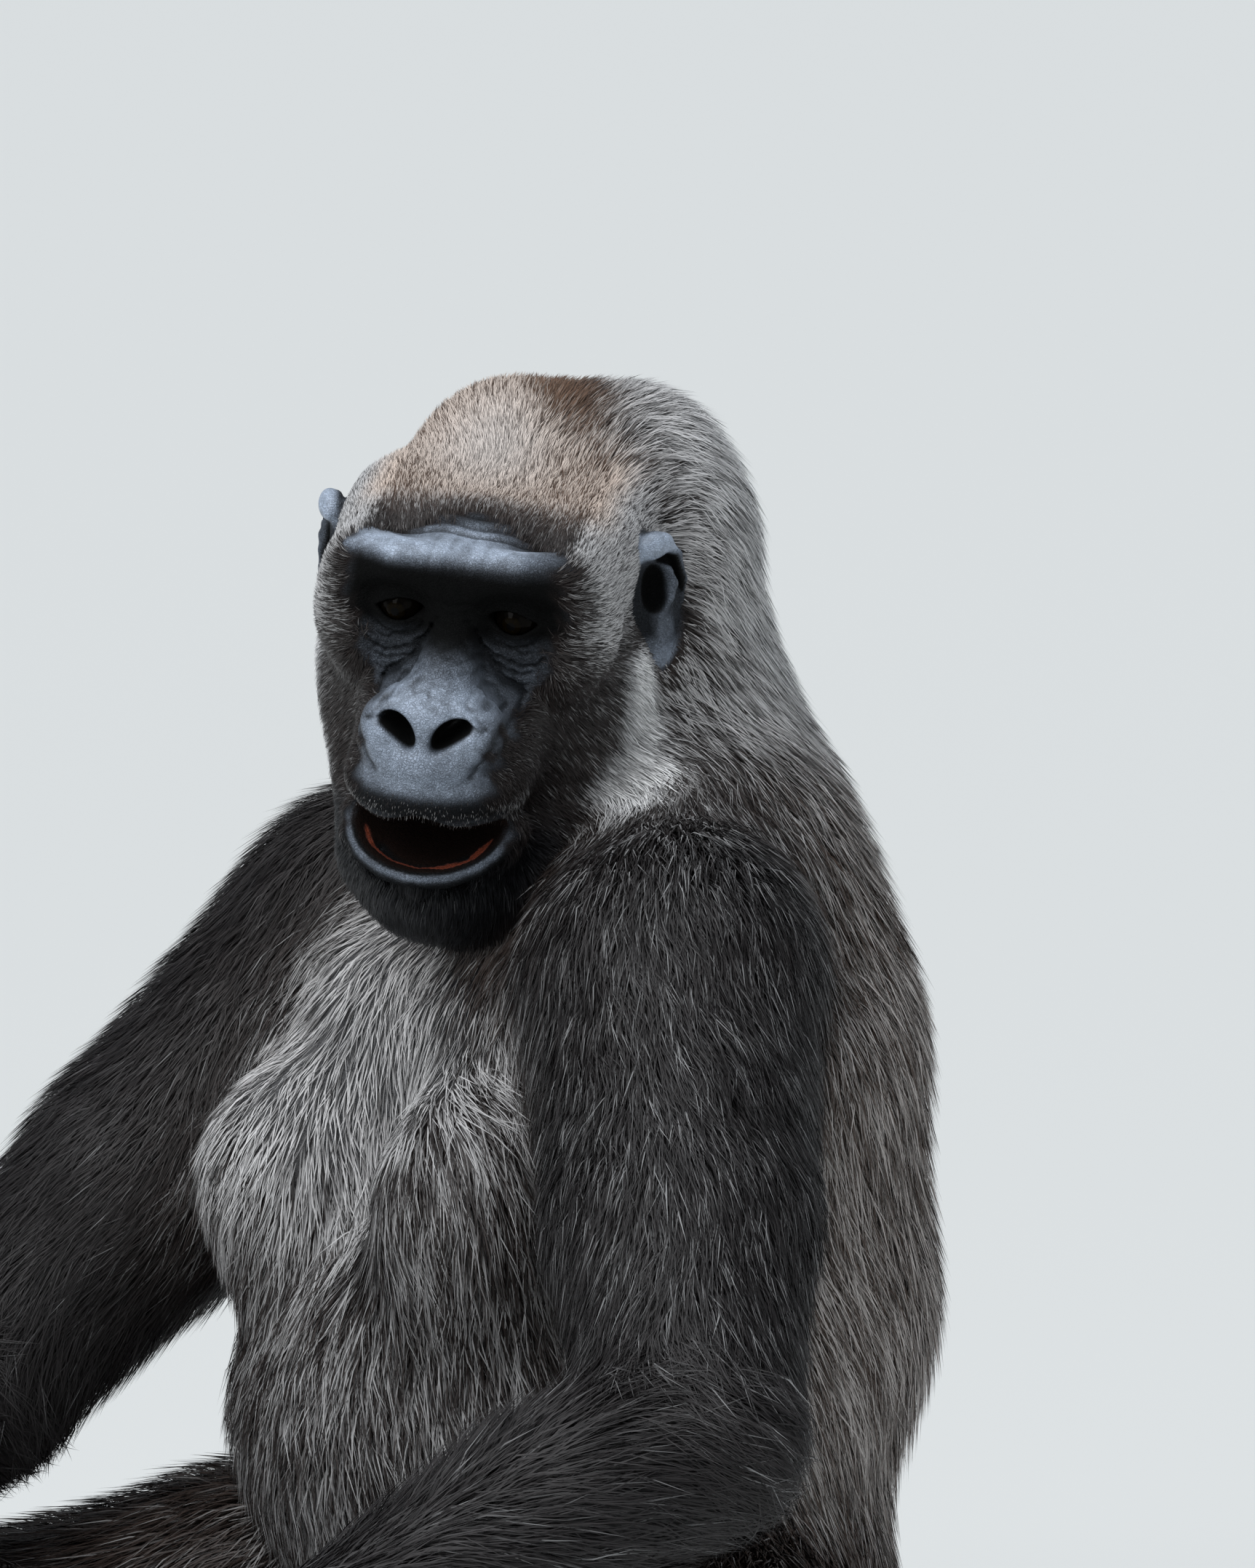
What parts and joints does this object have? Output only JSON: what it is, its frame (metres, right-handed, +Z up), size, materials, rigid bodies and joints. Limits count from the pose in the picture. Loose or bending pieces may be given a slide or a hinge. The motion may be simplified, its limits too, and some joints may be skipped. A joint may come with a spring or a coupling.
{
  "type": "gorilla",
  "caption": "Seated adult female western lowland gorilla, life size, head turned to its left with the mouth open, arms reaching forward to the ground. A still figure.",
  "frame": {"origin": "middle of the flat patch under the rump, on the ground", "axes": "+Z up; the body faces -Y; +X is the animal's own left; the head is turned to its left"},
  "size_m": [0.6932, 0.7603, 0.7276],
  "materials": {
    "coat": "dense black to grizzled grey-brown hair",
    "skin": "dark blue-grey creased bare skin",
    "eye": "wet, very dark brown"
  },
  "bodies": {
    "root": {"head": "skin", "eye_left": "eye", "eye_right": "eye", "ear_left": "skin", "ear_right": "skin", "neck": "coat", "torso": "coat", "upper_arm_left": "coat", "upper_arm_right": "coat", "forearm_left": "coat", "forearm_right": "coat", "hand_left": "skin", "hand_right": "skin", "thigh_left": "coat", "thigh_right": "coat", "lower_leg_left": "coat", "lower_leg_right": "coat", "foot_left": "skin", "foot_right": "skin"}
  },
  "joints": []
}
